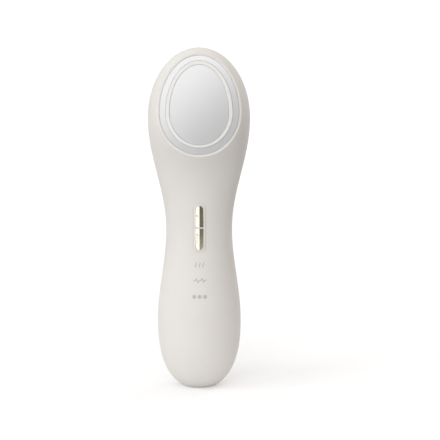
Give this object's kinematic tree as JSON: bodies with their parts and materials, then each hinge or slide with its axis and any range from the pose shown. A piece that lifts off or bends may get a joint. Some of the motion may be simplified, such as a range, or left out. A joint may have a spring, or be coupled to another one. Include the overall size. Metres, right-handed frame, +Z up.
{
  "type": "facial toning device",
  "caption": "Upright hand-held hot and cool facial toning wand: pale two-shell casing, tilted egg-shaped metal face, gold push buttons and a foot with a charging port.",
  "frame": {"origin": "middle of the flat foot, on the ground", "axes": "+Z up along the wand, the treatment face and the buttons look towards -Y, X is the width and the plane x = 0 is the plane of symmetry"},
  "size_m": [0.0506, 0.0376, 0.172],
  "materials": {
    "casing_shell": "warm pale grey casing with a fine satin, soft-touch surface",
    "foot_pad": "same pale colour, moulded a little softer than the casing",
    "silver_contact": "bright satin silver, rounded and polished",
    "cream_insulator": "cream plastic, smooth",
    "champagne_gold": "polished champagne-gold plating",
    "pale_bezel": "pale smooth plastic",
    "soft_seal": "silicone rubber",
    "thermal_pad": "grey heat-conducting pad",
    "white_ceramic": "sintered alumina",
    "pellet_alloy": "dull grey alloy",
    "sink_aluminium": "extruded, clear",
    "bright_steel": "zinc-plated and machined steel",
    "dark_plastic": "black moulded plastic",
    "copper_winding": "enamelled copper wire",
    "circuit_board": "green solder mask over glass fibre",
    "cell_wrap": "blue shrink wrap round the can",
    "foam_pad": "closed-cell foam",
    "clear_guide": "clear, lightly frosted",
    "lamp_body": "white lamp with a yellowish lens",
    "lead_sleeve": "soft insulation"
  },
  "bodies": {
    "casing": {"front_shell": "casing_shell", "rear_shell": "casing_shell", "base_foot": "foot_pad", "vent_grille": "casing_shell", "shell_screws": "bright_steel", "screw_plugs": "soft_seal", "electrode_ring": "silver_contact", "ring_terminal": "bright_steel", "insulating_ring": "cream_insulator", "contact_plate": "silver_contact", "plate_seal": "soft_seal", "temperature_sensor": "dark_plastic", "front_thermal_pad": "thermal_pad", "cold_ceramic": "white_ceramic", "cooler_pellets": "pellet_alloy", "hot_ceramic": "white_ceramic", "rear_thermal_pad": "thermal_pad", "heat_sink": "sink_aluminium", "sink_screws": "bright_steel", "fan_frame": "dark_plastic", "fan_bush": "bright_steel", "fan_motor": "copper_winding", "fan_screws": "bright_steel", "button_bezel": "pale_bezel", "push_switches": "dark_plastic", "main_board": "circuit_board", "board_screws": "bright_steel", "controller_chip": "dark_plastic", "pulse_transformer": "copper_winding", "capacitors": "sink_aluminium", "buzzer": "dark_plastic", "lead_sockets": "clear_guide", "indicator_lamps": "lamp_body", "light_guides": "clear_guide", "battery_cell": "cell_wrap", "cell_pads": "foam_pad", "protection_board": "circuit_board", "charge_board": "circuit_board", "charge_screws": "bright_steel", "charging_socket": "bright_steel", "socket_tongue": "dark_plastic", "battery_leads": "lead_sleeve", "charge_leads": "lead_sleeve", "cooler_leads": "lead_sleeve", "fan_leads": "lead_sleeve", "plate_lead": "lead_sleeve", "ring_lead": "lead_sleeve", "sensor_lead": "lead_sleeve"},
    "mode_key": {"mode_button": "champagne_gold", "mode_plunger": "dark_plastic"},
    "power_key": {"power_button": "champagne_gold", "power_plunger": "dark_plastic"},
    "fan_rotor": {"fan_impeller": "dark_plastic", "fan_shaft": "bright_steel"}
  },
  "joints": [
    {"name": "mode_press", "type": "slide", "parent": "casing", "child": "mode_key", "axis": [0, 1, 0], "range_m": [0, 0.0004], "stiffness_N_per_m": 400},
    {"name": "power_press", "type": "slide", "parent": "casing", "child": "power_key", "axis": [0, 1, 0], "range_m": [0, 0.0004], "stiffness_N_per_m": 400},
    {"name": "fan_spin", "type": "hinge", "parent": "casing", "child": "fan_rotor", "pos_m": [0, 0.00374, 0.13934], "axis": [0, -0.9632, 0.2689], "continuous": true}
  ]
}
